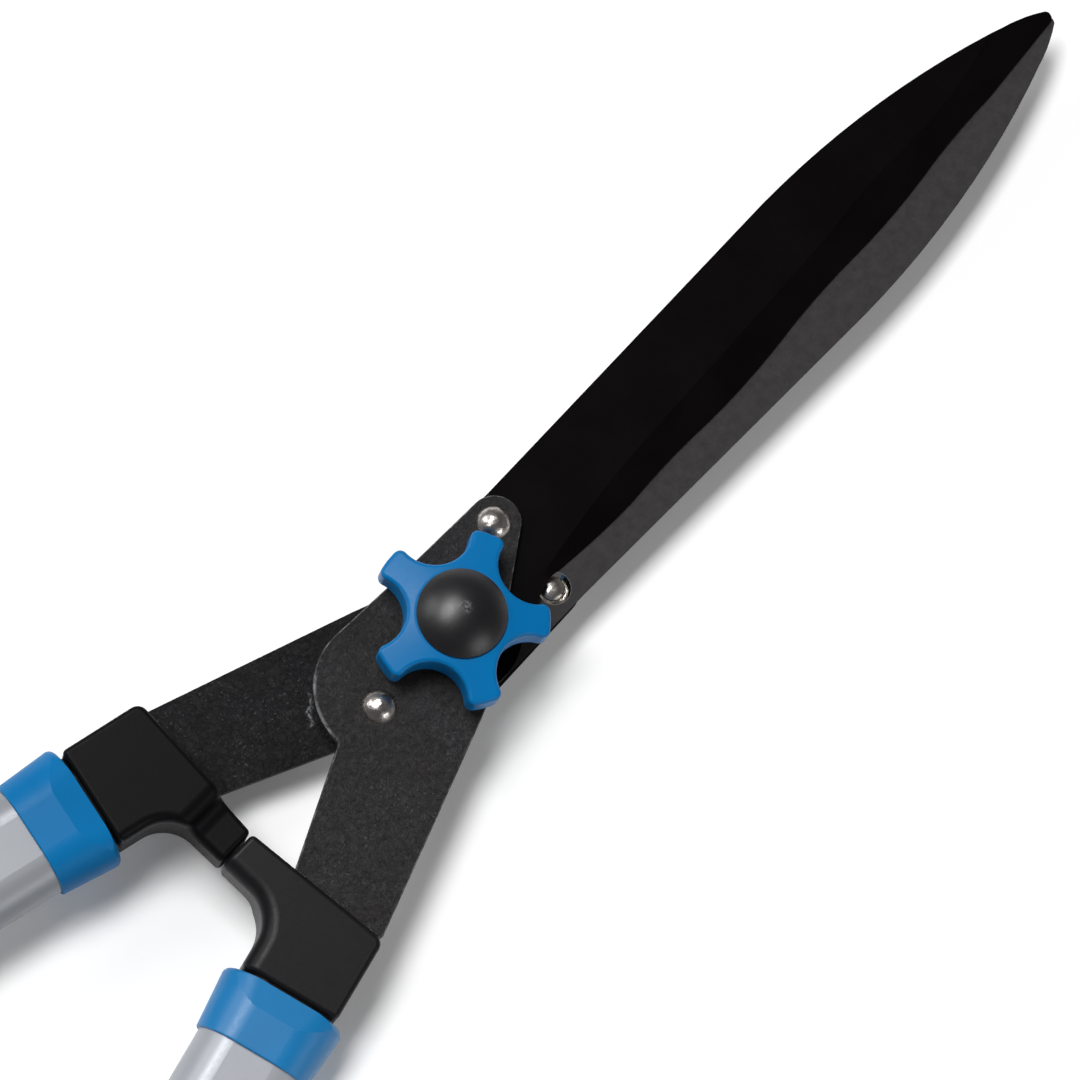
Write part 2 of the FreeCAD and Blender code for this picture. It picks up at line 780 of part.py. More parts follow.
def build_tube(half):
    """The flat-oval handle tube with its pin holes."""
    body = new_body(f"{half}_tube_body")
    outside = new_sketch(body, f"{half}_tube_outside", size("tube_setback"))
    draw_flat_oval(outside, size("tube_width"), size("tube_height"))
    pad(body, outside, size("tube_length"))
    inside = new_sketch(body, f"{half}_tube_inside", size("tube_setback"))
    draw_flat_oval(inside, bore_width, bore_height)
    pocket(body, inside, size("tube_length"), reversed_way=True)
    pin_holes = build_pin(f"{half}_tube_pin_holes", size("fit_clearance"))
    keep(cut(f"{half}_tube", body, pin_holes), f"{half}_tube", half, HANDLE)
    keep(build_pin(f"{half}_pin"), f"{half}_tube_pin", half, HANDLE)


def bore_for_tube(body, name, start, length):
    play = size("fit_clearance") * 2
    sketch = new_sketch(body, name, start)
    draw_flat_oval(sketch, size("tube_width") + play, size("tube_height") + play)
    pocket(body, sketch, length, reversed_way=True)


def loft(body, name, sections):
    """Blend flat ovals; each section is (station, width, height)."""
    sketches = []
    for index, (station, width, height) in enumerate(sections):
        sketch = new_sketch(body, f"{name}_section{index}", station)
        draw_flat_oval(sketch, width, height)
        sketches.append(sketch)
    doc.recompute()
    feature = body.newObject("PartDesign::AdditiveLoft", f"{name}_loft")
    feature.Profile = sketches[0]
    feature.Sections = sketches[1:]
    doc.recompute()
    return feature


def build_collar(half):
    """The collar that covers the joint, scooped above and below at its front edge."""
    body = new_body(f"{half}_collar_body")
    front = size("collar_gap")
    rear = front + size("collar_length")
    outline = new_sketch(body, f"{half}_collar_outline", front)
    draw_flat_oval(outline, size("collar_front_width"), size("collar_front_height"))
    solid = pad(body, outline, size("collar_length"))
    taper = body.newObject("PartDesign::Draft", f"{half}_collar_taper")
    sides = [f"Face{index}" for index, face in enumerate(solid.Shape.Faces, start=1)
             if face.BoundBox.ZLength > SIZES["overrun"]]
    fronts = [f"Face{index}" for index, face in enumerate(solid.Shape.Faces, start=1)
              if face.BoundBox.ZMax < front.number + SIZES["collar_front_radius"]]
    taper.Base = (solid, sides)
    taper.NeutralPlane = (solid, fronts)
    taper.setExpression("Angle", size("collar_taper_degrees").text)
    doc.recompute()
    for name, station in (("front", front), ("rear", rear)):
        edge_radius = size(f"collar_{name}_radius")
        flat = at_height(station, edge_radius.number * TINY_SHARE)
        round_edges(body, f"{half}_collar_{name}_edge", edge_radius, flat)
    bore_for_tube(body, f"{half}_collar_bore", front - size("overrun"),
                  size("collar_length") + size("overrun") * 2)
    # The scoops are what lies outside an oval that is flatter at the front and opens to the rear.
    taper_angle = size("collar_taper_degrees")
    climb = size("scoop_bite") / size("scoop_length") - sine(taper_angle) / cosine(taper_angle)
    scooped_width = size("collar_front_width") + size("scoop_side_room")
    scooped_height = size("collar_front_height") - size("scoop_bite") * 2
    opened_height = scooped_height + climb * size("collar_length") * 2
    envelope = new_body(f"{half}_collar_envelope_body")
    loft(envelope, f"{half}_collar_envelope", [
        (front, scooped_width, scooped_height),
        (rear, scooped_width, opened_height),
    ])
    scooped = doc.addObject("Part::Common", f"{half}_collar_scooped")
    scooped.Base = body
    scooped.Tool = envelope
    doc.recompute()
    if scooped.Shape.Volume >= body.Shape.Volume:
        raise RuntimeError(f"{half} collar's scoops cut nothing")
    keep(scooped, f"{half}_collar", half, HANDLE)


def build_grip(half):
    """Grip ring, soft grip and end cap with its hanging eye, at the tube's far end."""
    ring = new_body(f"{half}_grip_ring_body")
    ring_start = grip_start - size("grip_ring_length")
    outline = new_sketch(ring, f"{half}_grip_ring_outline", ring_start)
    draw_flat_oval(outline, size("grip_ring_width"), size("grip_ring_height"))
    pad(ring, outline, size("grip_ring_length"))
    for name, station in (("front", ring_start), ("rear", grip_start)):
        flat = at_height(station, size("grip_ring_radius").number * TINY_SHARE)
        round_edges(ring, f"{half}_grip_ring_{name}_edge", size("grip_ring_radius"), flat)
    bore_for_tube(ring, f"{half}_grip_ring_bore", ring_start - size("overrun"),
                  size("grip_ring_length") + size("overrun") * 2)
    keep(ring, f"{half}_grip_ring", half, HANDLE)

    grip = new_body(f"{half}_grip_body")
    sections = []
    for share, form in zip(GRIP_STATION_SHARES, ("front", "waist", "palm", "neck", "end")):
        station = grip_start + size("grip_length") * share
        sections.append((station, size(f"grip_{form}_width"), size(f"grip_{form}_height")))
    loft(grip, f"{half}_grip", sections)
    bore_for_tube(grip, f"{half}_grip_bore", grip_start - size("overrun"),
                  size("grip_length") + size("overrun") * 2)
    keep(grip, f"{half}_grip", half, HANDLE)

    cap = new_body(f"{half}_end_cap_body")
    flange = new_sketch(cap, f"{half}_end_cap_flange", tube_end)
    draw_flat_oval(flange, size("grip_end_width"), size("grip_end_height"))
    pad(cap, flange, size("cap_flange_length"))
    cap_end = tube_end + size("cap_flange_length")
    flat = at_height(cap_end, size("cap_edge_radius").number * TINY_SHARE)
    round_edges(cap, f"{half}_end_cap_edge", size("cap_edge_radius"), flat)
    plug = new_sketch(cap, f"{half}_end_cap_plug", tube_end)
    play = size("fit_clearance") * 2
    draw_flat_oval(plug, bore_width - play, bore_height - play)
    pad(cap, plug, size("cap_plug_length"), reversed_way=True)
    lift = Placement(Vector(0, size("eye_thickness").number / 2, 0), LENGTHWISE)
    eye = new_sketch(cap, f"{half}_end_cap_eye", frame=lift)
    draw_eye(eye, cap_end - size("cap_edge_radius"), cap_end + size("eye_reach"))
    pad(cap, eye, size("eye_thickness"))
    keep(cap, f"{half}_end_cap", half, HANDLE)


def draw_eye(sketch, root, centre):
    """A tongue with a round end about the hanging hole."""
    reach = size("eye_width") / 2
    radius = size("eye_width") / 2
    circle = Part.Circle(Vector(0, centre.number, 0), UP, radius.number)
    arc = sketch.addGeometry(Part.ArcOfCircle(circle, 0, math.pi))
    pin_point(sketch, arc, 3, ZERO, centre)
    bind(sketch, Sketcher.Constraint("Radius", arc, radius.number), radius)
    corners = []
    for side, end in ((1, 1), (-1, 2)):
        foot = Vector(side * reach.number, root.number, 0)
        line = sketch.addGeometry(Part.LineSegment(foot, sketch.getPoint(arc, end)))
        pin_point(sketch, line, 1, reach * side, root)
        sketch.addConstraint(Sketcher.Constraint("Tangent", line, 2, arc, end))
        corners.append(line)
    base = sketch.addGeometry(Part.LineSegment(*[sketch.getPoint(line, 1) for line in corners]))
    sketch.addConstraint(Sketcher.Constraint("Coincident", base, 1, corners[0], 1))
    sketch.addConstraint(Sketcher.Constraint("Coincident", base, 2, corners[1], 1))
    draw_circle(sketch, ZERO, centre, size("eye_hole_radius"))


def build_bolt():
    """The pivot bolt: flattened round head below, square neck in the lower bracket, plain shank up."""
    bolt = new_body("pivot_bolt_body")
    seat = -bracket_outer
    head, rim = size("bolt_head_radius"), size("bolt_head_rim")
    flat = size("bolt_head_flat_radius")
    bottom = seat - size("bolt_head_height")
    run, drop = head - flat, size("bolt_head_height") - rim
    revolve(bolt, "pivot_bolt_profile", [
        (ZERO, bottom),
        (flat, bottom),
        (head, seat - rim, dome_radius(square_root(run * run + drop * drop) / 2, drop / 3), -1),
        (head, seat),
        (size("bolt_radius"), seat),
        (size("bolt_radius"), nut_top + size("bolt_end_height")),
        (ZERO, nut_top + size("bolt_end_height")),
    ])
    neck = new_sketch(bolt, "pivot_bolt_neck", seat)
    draw_square(neck, size("bolt_neck_side") - size("fit_clearance") * 2)
    pad(bolt, neck, size("bracket_thickness"))
    keep(bolt, "pivot_bolt")


def build_ring(name, inner, outer, low, high):
    body = new_body(f"{name}_body")
    revolve(body, f"{name}_profile", [(inner, low), (outer, low), (outer, high), (inner, high)])
    keep(body, name)


def build_stack():
    """Bush through the blades, then flat washer and spring washer above the upper bracket."""
    bolt_hole = size("bolt_radius") + size("running_clearance")
    bush_reach = blade_outer - size("bush_shortfall")
    build_ring("pivot_bush", bolt_hole, size("bush_radius"), -bush_reach, bush_reach)
    build_ring("flat_washer", bolt_hole, size("washer_radius"), washer_base, washer_top)
    spring = new_body("spring_washer_body")
    outer, thick = size("spring_washer_radius"), size("spring_washer_thickness")
    rise = size("spring_washer_rise")
    revolve(spring, "spring_washer_profile", [
        (bolt_hole, washer_top + rise),
        (outer, washer_top),
        (outer, washer_top + thick),
        (bolt_hole, washer_top + thick + rise),
    ])
    keep(spring, "spring_washer")


def draw_hexagon(sketch, flats):
    corner = flats / 2 / cosine(Size(30, "30"))
    turns = [Size(60 * index, repr(60 * index)) for index in range(6)]
    draw_outline(sketch, [(corner * cosine(turn), corner * sine(turn)) for turn in turns])


def build_knob():
    """The star knob with its moulded-in nut and the domed cap over the bolt's end."""
    nut = new_body("knob_nut_body")
    outline = new_sketch(nut, "knob_nut_outline", nut_base)
    draw_hexagon(outline, size("nut_flats"))
    pad(nut, outline, size("nut_height"))
    thread = new_sketch(nut, "knob_nut_thread", nut_base)
    draw_circle(thread, ZERO, ZERO, size("bolt_radius") + size("running_clearance"))
    pocket(nut, thread)
    keep(nut, "knob_nut")

    star = new_body("star_knob_body")
    bore = size("bolt_radius") + size("knob_bore_clearance")
    rim, hub = size("knob_radius"), size("knob_hub_radius")
    socket_floor = hub_top - size("cap_socket_depth")
    revolve(star, "star_knob_profile", [
        (bore, knob_base),
        (size("knob_foot_radius"), knob_base),
        (size("knob_foot_radius"), star_base),
        (rim, star_base),
        (rim, star_base + size("knob_rim_height")),
        (hub, hub_top),
        (size("cap_socket_radius"), hub_top),
        (size("cap_socket_radius"), socket_floor),
        (bore, socket_floor),
    ])
    scallops = new_sketch(star, "star_knob_scallops", star_base - size("overrun"))
    away = size("scallop_floor") + size("scallop_radius")
    for lobe in range(LOBES):
        turn = size("knob_turn_degrees") + 360 / LOBES * lobe
        draw_circle(scallops, away * cosine(turn), away * sine(turn), size("scallop_radius"))
    pocket(star, scallops, size("knob_hub_height") + size("overrun") * 2, reversed_way=True)
    mid_rim = star_base + size("knob_rim_height") / 2
    round_edges(star, "star_knob_corners", size("knob_corner_radius"), upright_outside((rim + hub) / 2))
    past_hub = (size("scallop_floor") + hub) / 2
    round_edges(star, "star_knob_top_edge", size("knob_edge_radius"), outside(past_hub, mid_rim, hub_top))
    round_edges(star, "star_knob_under_edge", size("knob_underside_radius"),
                outside(past_hub, knob_base, mid_rim))
    seat = new_sketch(star, "star_knob_nut_seat", nut_base)
    draw_hexagon(seat, size("nut_flats"))
    pocket(star, seat, size("nut_height"), reversed_way=True)
    keep(star, "star_knob")

    cap = new_body("knob_cap_body")
    crown = hub_top + size("cap_rim_height")
    plug = size("cap_socket_radius") - size("fit_clearance")
    wide, rise = size("cap_radius"), size("cap_dome_height")
    revolve(cap, "knob_cap_profile", [
        (ZERO, socket_floor),
        (plug, socket_floor),
        (plug, hub_top),
        (wide, hub_top),
        (wide, crown),
        (ZERO, crown + rise, dome_radius(wide, rise), -1),
    ])
    keep(cap, "knob_cap")


def check_pieces():
    doc.recompute()
    for piece in doc.Objects:
        if "Invalid" in piece.State or "Error" in piece.State:
            raise RuntimeError(f"{piece.Name} failed: {piece.State}")
    for piece, _ in nodes:
        if piece.Shape.isNull() or not piece.Shape.isValid():
            raise RuntimeError(f"{piece.Label} has no valid shape")


def place_pieces():
    """Stand every piece in the part's frame: origin under the middle of the whole, at its lowest point."""
    whole = FreeCAD.BoundBox()
    for piece, placement in nodes:
        piece.Placement = placement.multiply(piece.Placement)
        whole.add(piece.Shape.optimalBoundingBox(False))
    origin = Vector(whole.Center.x, whole.Center.y, whole.ZMin)
    for piece, _ in nodes:
        piece.Placement = Placement(-origin, Rotation()).multiply(piece.Placement)
    print(f"pivot stands at {-origin}")


for half in ("upper", "lower"):
    build_blade(half)
    build_bracket(half)
    build_rivets(half)
    build_ferrule(half)
    build_tube(half)
    build_collar(half)
    build_grip(half)
build_bolt()
build_stack()
build_knob()
check_pieces()
place_pieces()
for piece, _ in nodes:
    piece.Shape.exportStep(f"parts/{piece.Label}.step")
    print(f"{piece.Label}: {len(piece.Shape.Solids)} solids, {piece.Shape.Volume:.0f} mm3")
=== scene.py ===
import bmesh
import bpy
import math
from mathutils import Matrix, Vector

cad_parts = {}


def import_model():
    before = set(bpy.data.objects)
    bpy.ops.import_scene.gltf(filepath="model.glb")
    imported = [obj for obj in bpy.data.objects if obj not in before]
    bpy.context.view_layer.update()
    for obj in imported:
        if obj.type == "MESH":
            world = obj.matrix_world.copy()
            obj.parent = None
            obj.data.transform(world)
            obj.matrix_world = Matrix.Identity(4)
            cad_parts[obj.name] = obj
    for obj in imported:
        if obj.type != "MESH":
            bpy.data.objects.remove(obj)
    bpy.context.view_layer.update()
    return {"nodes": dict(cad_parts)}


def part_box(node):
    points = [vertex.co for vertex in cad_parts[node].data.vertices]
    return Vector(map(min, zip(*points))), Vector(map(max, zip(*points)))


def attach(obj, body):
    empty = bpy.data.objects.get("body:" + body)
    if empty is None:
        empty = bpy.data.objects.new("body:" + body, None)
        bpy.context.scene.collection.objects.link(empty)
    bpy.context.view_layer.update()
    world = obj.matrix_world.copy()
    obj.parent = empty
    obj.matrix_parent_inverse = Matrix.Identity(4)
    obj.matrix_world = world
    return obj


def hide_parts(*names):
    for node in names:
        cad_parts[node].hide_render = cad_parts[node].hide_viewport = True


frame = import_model()
nodes = frame["nodes"]
MM = 0.001

# The pivot's middle, and each half's sign: the lower half is the upper one turned over about X.
BUSH_LOW, BUSH_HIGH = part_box("pivot_bush")
PIVOT = (BUSH_LOW + BUSH_HIGH) / 2
HALVES = {"upper": 1, "lower": -1}

# Places on a half, in millimetres from the pivot: along X, and across it away from the half's handle.
RIVETS = ((30.2, 12.5), (-31.9, -0.7))
HEAD_MIDDLE = (-26.6, 1.2)
SCUFF_MIDDLE = (-44.2, -13.0)
HANDLE_FOOT = (-107.4, -37.6)
# How far the handle's axis lies beyond the pivot's middle on the other half's side, in millimetres.
HANDLE_DROP = 3.0


def place_on(side, spot):
    """A place on one half in the frame's X and Y, in metres."""
    return PIVOT.x + spot[0] * MM, PIVOT.y + side * spot[1] * MM


def axes_matrix(x_axis, y_axis, z_axis, place):
    """The matrix that takes its own axes and origin to the given axes and place."""
    columns = (x_axis, y_axis, z_axis, place)
    rows = [[column[row] for column in columns] for row in range(3)]
    return Matrix((*rows, (0.0, 0.0, 0.0, 1.0)))


# Node trees.
class Tree:
    """A material's node tree, with short ways to add and join nodes."""

    def __init__(self, name):
        self.material = bpy.data.materials.new(name)
        self.material.use_nodes = True
        self.nodes = self.material.node_tree.nodes
        self.links = self.material.node_tree.links
        self.shader = self.nodes["Principled BSDF"]
        self.place = self.add("ShaderNodeTexCoord").outputs["Object"]

    def add(self, kind, **settings):
        node = self.nodes.new(kind)
        for key, value in settings.items():
            setattr(node, key, value)
        return node

    def join(self, value, socket):
        """Link an output to the socket, or set the socket to a constant."""
        if hasattr(value, "is_linked"):
            self.links.new(value, socket)
        else:
            socket.default_value = value

    def math(self, operation, a, b=0.0, clamp=False):
        node = self.add("ShaderNodeMath", operation=operation, use_clamp=clamp)
        self.join(a, node.inputs[0])
        self.join(b, node.inputs[1])
        return node.outputs[0]

    def product(self, first, *others):
        for value in others:
            first = self.math("MULTIPLY", first, value)
        return first

    def parts(self, vector):
        """The X, Y and Z of a vector."""
        node = self.add("ShaderNodeSeparateXYZ")
        self.join(vector, node.inputs[0])
        return node.outputs

    def facing(self, kind="Normal"):
        """The Z of the surface's direction: 1 where it faces up, -1 where it faces down."""
        return self.parts(self.add("ShaderNodeNewGeometry").outputs[kind])[2]

    def offsets(self, place):
        """How far along X and along Y the surface point lies from a place."""
        x, y = self.parts(self.place)[:2]
        return self.math("SUBTRACT", x, place[0]), self.math("SUBTRACT", y, place[1])

    def length(self, along, across):
        return self.math("SQRT", self.math("ADD", self.product(across, across), self.product(along, along)))

    def noise(self, scale, detail=3.0, roughness=0.55, distortion=0.0, stretch=None):
        """Noise of a scale in turns per metre, on the object's own place or that place stretched."""
        place = self.place
        if stretch:
            mapping = self.add("ShaderNodeMapping")
            self.join(self.place, mapping.inputs["Vector"])
            mapping.inputs["Scale"].default_value = stretch
            place = mapping.outputs[0]
        node = self.add("ShaderNodeTexNoise")
        self.join(place, node.inputs["Vector"])
        node.inputs["Scale"].default_value = scale
        node.inputs["Detail"].default_value = detail
        node.inputs["Roughness"].default_value = roughness
        node.inputs["Distortion"].default_value = distortion
        return node.outputs[0]

    def ramp(self, value, low, high, start=0.0, end=1.0):
        """Value from low..high to start..end, held at both ends."""
        node = self.add("ShaderNodeMapRange", clamp=True)
        self.join(value, node.inputs["Value"])
        node.inputs["From Min"].default_value = low
        node.inputs["From Max"].default_value = high
        node.inputs["To Min"].default_value = start
        node.inputs["To Max"].default_value = end
        return node.outputs["Result"]

    def blend(self, share, a, b):
        """Colour a where the share is 0, colour b where it is 1."""
        node = self.add("ShaderNodeMix", data_type="RGBA")
        self.join(share, node.inputs[0])
        for value, socket in ((a, node.inputs[6]), (b, node.inputs[7])):
            self.join(value if hasattr(value, "is_linked") else (*value, 1.0), socket)
        return node.outputs[2]

    def bump(self, height, distance, strength=1.0, under=None):
        node = self.add("ShaderNodeBump")
        self.join(height, node.inputs["Height"])
        node.inputs["Distance"].default_value = distance
        node.inputs["Strength"].default_value = strength
        if under is not None:
            self.join(under, node.inputs["Normal"])
        return node.outputs[0]

    def finish(self, colour, roughness, normal=None, metallic=0.0, gloss=0.5):
        """Join the values to the shader; gloss is its specular level."""
        shader = self.shader.inputs
        self.join((*colour, 1.0) if isinstance(colour, tuple) else colour, shader["Base Color"])
        self.join(roughness, shader["Roughness"])
        self.join(metallic, shader["Metallic"])
        if normal is not None:
            self.join(normal, shader["Normal"])
        shader["Specular IOR Level"].default_value = gloss
        return self.material


# Materials.
# The countersinks round the rivets' flush tails, bare metal in the blade's inner face.
SINK_RADIUS = 4.9 * MM
SINK_STEEL = (0.62, 0.60, 0.57)


def blade_steel(name, side):
    """Black coated steel; the lapped inner face is dull grey and mottled, its rivet sinks bright."""
    tree = Tree(name)
    inward = tree.product(tree.facing(), -side)
    bare = tree.ramp(inward, 0.9, 0.98)
    rim = 0.05 * MM
    sinks = [tree.ramp(tree.length(*tree.offsets(place_on(side, rivet))),
                       SINK_RADIUS - rim, SINK_RADIUS + rim, 1.0, 0.0) for rivet in RIVETS]
    sinks = tree.product(tree.math("MAXIMUM", *sinks), tree.ramp(inward, 0.3, 0.5))
    mottle = tree.noise(300.0, 5.0, 0.7)
    clouds = tree.noise(55.0, 3.0, 0.5)
    flecks = tree.ramp(tree.noise(900.0, 3.0, 0.65, distortion=0.6), 0.64, 0.74)
    flecks = tree.product(flecks, tree.ramp(clouds, 0.5, 0.62))
    coat = tree.blend(tree.ramp(clouds, 0.35, 0.7), (0.0026, 0.0020, 0.0022), (0.0036, 0.0029, 0.0031))
    grey = tree.blend(tree.ramp(mottle, 0.3, 0.7), (0.034, 0.032, 0.033), (0.049, 0.046, 0.0475))
    grey = tree.blend(tree.product(flecks, 0.4), grey, (0.11, 0.105, 0.10))
    colour = tree.blend(sinks, tree.blend(bare, coat, grey), SINK_STEEL)
    rough = tree.ramp(bare, 0.0, 1.0, 0.40, 0.60)
    rough = tree.math("ADD", rough, tree.ramp(mottle, 0.3, 0.7, -0.05, 0.05))
    rough = tree.math("SUBTRACT", rough, tree.product(sinks, 0.28))
    ground = tree.noise(420.0, 3.0, 0.6, stretch=(1.0, 4.0, 1.0))
    return tree.finish(colour, rough, tree.bump(ground, 0.00004, 0.35), metallic=sinks, gloss=0.025)


# Of each bracket's coat, by its side: warm and cool patches, how far its crests take their painted
# highlight, and its gloss.
# The upper coat's colours are painted lighter and the lower coat's darker: painted light and painted shade
# on one coat.
LIT_AND_SHADED_COATS = {
    1: ((0.0180, 0.0155, 0.0148), (0.0200, 0.0198, 0.0222), 0.5, 0.20),
    -1: ((0.0062, 0.0057, 0.0062), (0.0072, 0.0074, 0.0093), 0.3, 0.13),
}
# The coat's painted highlight on its crests, painted shade in its pits, painted glints at its sparks, and
# the steel under it.
CREST_HIGHLIGHT, PIT_SHADE, SPARK_GLINT = (0.046, 0.044, 0.045), (0.003, 0.003, 0.0034), (0.13, 0.13, 0.13)
WORN_STEEL = (0.30, 0.31, 0.32)
HEAD_RADIUS = 20.45 * MM
# Half the width over which the rubbed line on the head's edge fades, and where behind it begins.
ARC_CORE, ARC_RIM = 0.15 * MM, 0.75 * MM
ARC_START, ARC_FULL = -9.0 * MM, -13.0 * MM
# The scuff's slant, how far it wanders, and the half width and half length over which it fades.
SCUFF_SLANT = math.radians(44.3)
SCUFF_WANDER = 1.1 * MM
SCUFF_WIDTH = (0.2 * MM, 0.9 * MM)
SCUFF_LENGTH = (3.2 * MM, 5.4 * MM)


def textured_coat(name, side):
    """Black powder coat with a fine wrinkled texture, rubbed bright along the broken edges."""
    warm, cool, crest_highlight, gloss = LIT_AND_SHADED_COATS[side]
    tree = Tree(name)
    wrinkle = tree.noise(470.0, 4.0, 0.66, distortion=1.6)
    off_crest = tree.math("ABSOLUTE", tree.math("SUBTRACT", wrinkle, 0.5))
    ridge = tree.math("SUBTRACT", 1.0, tree.product(off_crest, 7.0), clamp=True)
    fine = tree.noise(1300.0, 3.0, 0.6)
    patches = tree.noise(70.0, 3.0, 0.55)
    pits = tree.ramp(tree.noise(760.0, 5.0, 0.7, distortion=0.8), 0.50, 0.34)
    painted_glints = tree.product(tree.ramp(fine, 0.61, 0.70), tree.ramp(patches, 0.42, 0.58))
    worn = wear(tree, side)
    # Painted light: the crests get a painted highlight, the pits painted shade, the sparks painted glints.
    colour = tree.blend(tree.ramp(patches, 0.35, 0.65), warm, cool)
    for share, paint in ((tree.product(ridge, crest_highlight), CREST_HIGHLIGHT), (tree.product(pits, 0.6), PIT_SHADE),
                         (tree.product(painted_glints, 0.6), SPARK_GLINT), (worn, WORN_STEEL)):
        colour = tree.blend(share, colour, paint)
    relief = tree.math("ADD", tree.product(ridge, 0.7), tree.product(fine, 0.8))
    return tree.finish(colour, tree.ramp(patches, 0.35, 0.7, 0.52, 0.40), tree.bump(relief, 0.00028, 0.9),
                       metallic=tree.product(worn, 0.5), gloss=gloss)


def wear(tree, side):
    """Where the coat is rubbed through: the sheet's broken edges, the head's arc and one scuff."""
    slope = tree.product(tree.facing("True Normal"), side)
    edges = tree.product(tree.ramp(slope, 0.35, 0.55), tree.ramp(slope, 0.95, 0.85))
    scratch = tree.noise(420.0, 4.0, 0.7)
    edges = tree.product(edges, tree.ramp(scratch, 0.46, 0.62, 0.06, 0.55))
    arc = tree.product(rubbed_arc(tree, side), tree.ramp(scratch, 0.40, 0.60, 0.12, 0.8))
    worn = tree.math("MAXIMUM", edges, arc)
    return worn if side > 0 else tree.math("MAXIMUM", worn, scuff(tree))


def rubbed_arc(tree, side):
    """The edge of the head's rear arc that the other half's arm passes, on the outer face."""
    along, across = tree.offsets(place_on(side, HEAD_MIDDLE))
    off_arc = tree.math("ABSOLUTE", tree.math("SUBTRACT", tree.length(along, across), HEAD_RADIUS))
    return tree.product(tree.ramp(off_arc, ARC_CORE, ARC_RIM, 1.0, 0.0),
                        tree.ramp(along, ARC_START, ARC_FULL),
                        tree.ramp(tree.product(across, side), -1.5 * MM, 0.5 * MM),
                        tree.ramp(tree.product(tree.facing(), side), 0.2, 0.5))


def scuff(tree):
    """One pale scratch on the lower bracket's upward face, close behind the upper bracket's head."""
    from_middle = tree.offsets(place_on(-1, SCUFF_MIDDLE))
    cosine, sine = math.cos(SCUFF_SLANT), math.sin(SCUFF_SLANT)
    along, across = (tree.math("ADD", tree.product(from_middle[0], x), tree.product(from_middle[1], y))
                     for x, y in ((cosine, sine), (-sine, cosine)))
    wander = tree.ramp(tree.noise(330.0, 3.0, 0.6), 0.3, 0.7, -SCUFF_WANDER, SCUFF_WANDER)
    across = tree.math("ABSOLUTE", tree.math("ADD", across, wander))
    return tree.product(tree.ramp(across, *SCUFF_WIDTH, 1.0, 0.0),
                        tree.ramp(tree.math("ABSOLUTE", along), *SCUFF_LENGTH, 1.0, 0.0),
                        tree.ramp(tree.noise(1000.0, 4.0, 0.7), 0.44, 0.60, 0.0, 0.95),
                        tree.ramp(tree.facing(), 0.5, 0.8))


def polished_metal(name, tint, roughness, dents=0.0):
    """Bare metal with faint clouds; dents is the height of a hammered unevenness."""
    tree = Tree(name)
    wear_marks = tree.noise(500.0, 3.0, 0.5)
    cloud = tree.noise(160.0, 2.0, 0.5)
    colour = tree.blend(tree.ramp(cloud, 0.3, 0.7), tint, tuple(part * 0.75 for part in tint))
    if dents:
        normal = tree.bump(tree.noise(430.0, 2.0, 0.5), dents, 0.8)
    else:
        normal = tree.bump(cloud, 0.00006, 0.4)
    rough = tree.ramp(wear_marks, 0.3, 0.7, roughness, roughness + 0.06)
    return tree.finish(colour, rough, normal, metallic=1.0)


def moulded(name, colour, roughness, gloss, grain=1100.0, depth=0.00004):
    """Injection-moulded plastic: even colour with a fine spark-eroded grain."""
    tree = Tree(name)
    pits = tree.noise(grain, 3.0, 0.6)
    cloud = tree.noise(40.0, 2.0, 0.5)
    tint = tree.blend(tree.ramp(cloud, 0.3, 0.7), tuple(part * 0.88 for part in colour), colour)
    rough = tree.ramp(pits, 0.3, 0.7, roughness - 0.05, roughness + 0.06)
    return tree.finish(tint, rough, tree.bump(pits, depth, 0.6), gloss=gloss)


# The gate mark on the cap: how far ahead of the pivot it lies, and the radii between which it fades.
GATE_AHEAD, GATE_CORE, GATE_RIM = 0.5 * MM, 0.3 * MM, 2.3 * MM


def domed_cap(name):
    """The knob's black cap: satin moulding with a small torn gate mark at its crown."""
    tree = Tree(name)
    from_gate = tree.length(*tree.offsets((PIVOT.x + GATE_AHEAD, PIVOT.y)))
    mark = tree.ramp(from_gate, GATE_CORE, GATE_RIM, 1.0, 0.0)
    torn = tree.product(mark, tree.ramp(tree.noise(650.0, 4.0, 0.7, distortion=1.2), 0.47, 0.62))
    pits = tree.noise(1700.0, 3.0, 0.6)
    colour = tree.blend(torn, (0.006, 0.005, 0.0065), (0.22, 0.22, 0.23))
    normal = tree.bump(torn, 0.00015, 0.8, under=tree.bump(pits, 0.00002, 0.6))
    return tree.finish(colour, tree.ramp(pits, 0.3, 0.7, 0.34, 0.44), normal, gloss=0.55)


def anodised(name, low, high):
    """Extruded tube: satin silver anodising."""
    tree = Tree(name)
    fine = tree.noise(1600.0, 2.0, 0.5)
    cloud = tree.noise(30.0, 2.0, 0.5)
    colour = tree.blend(tree.ramp(cloud, 0.3, 0.7), low, high)
    rough = tree.ramp(fine, 0.3, 0.7, 0.34, 0.44)
    return tree.finish(colour, rough, tree.bump(fine, 0.00002, 0.4), metallic=0.2, gloss=0.3)


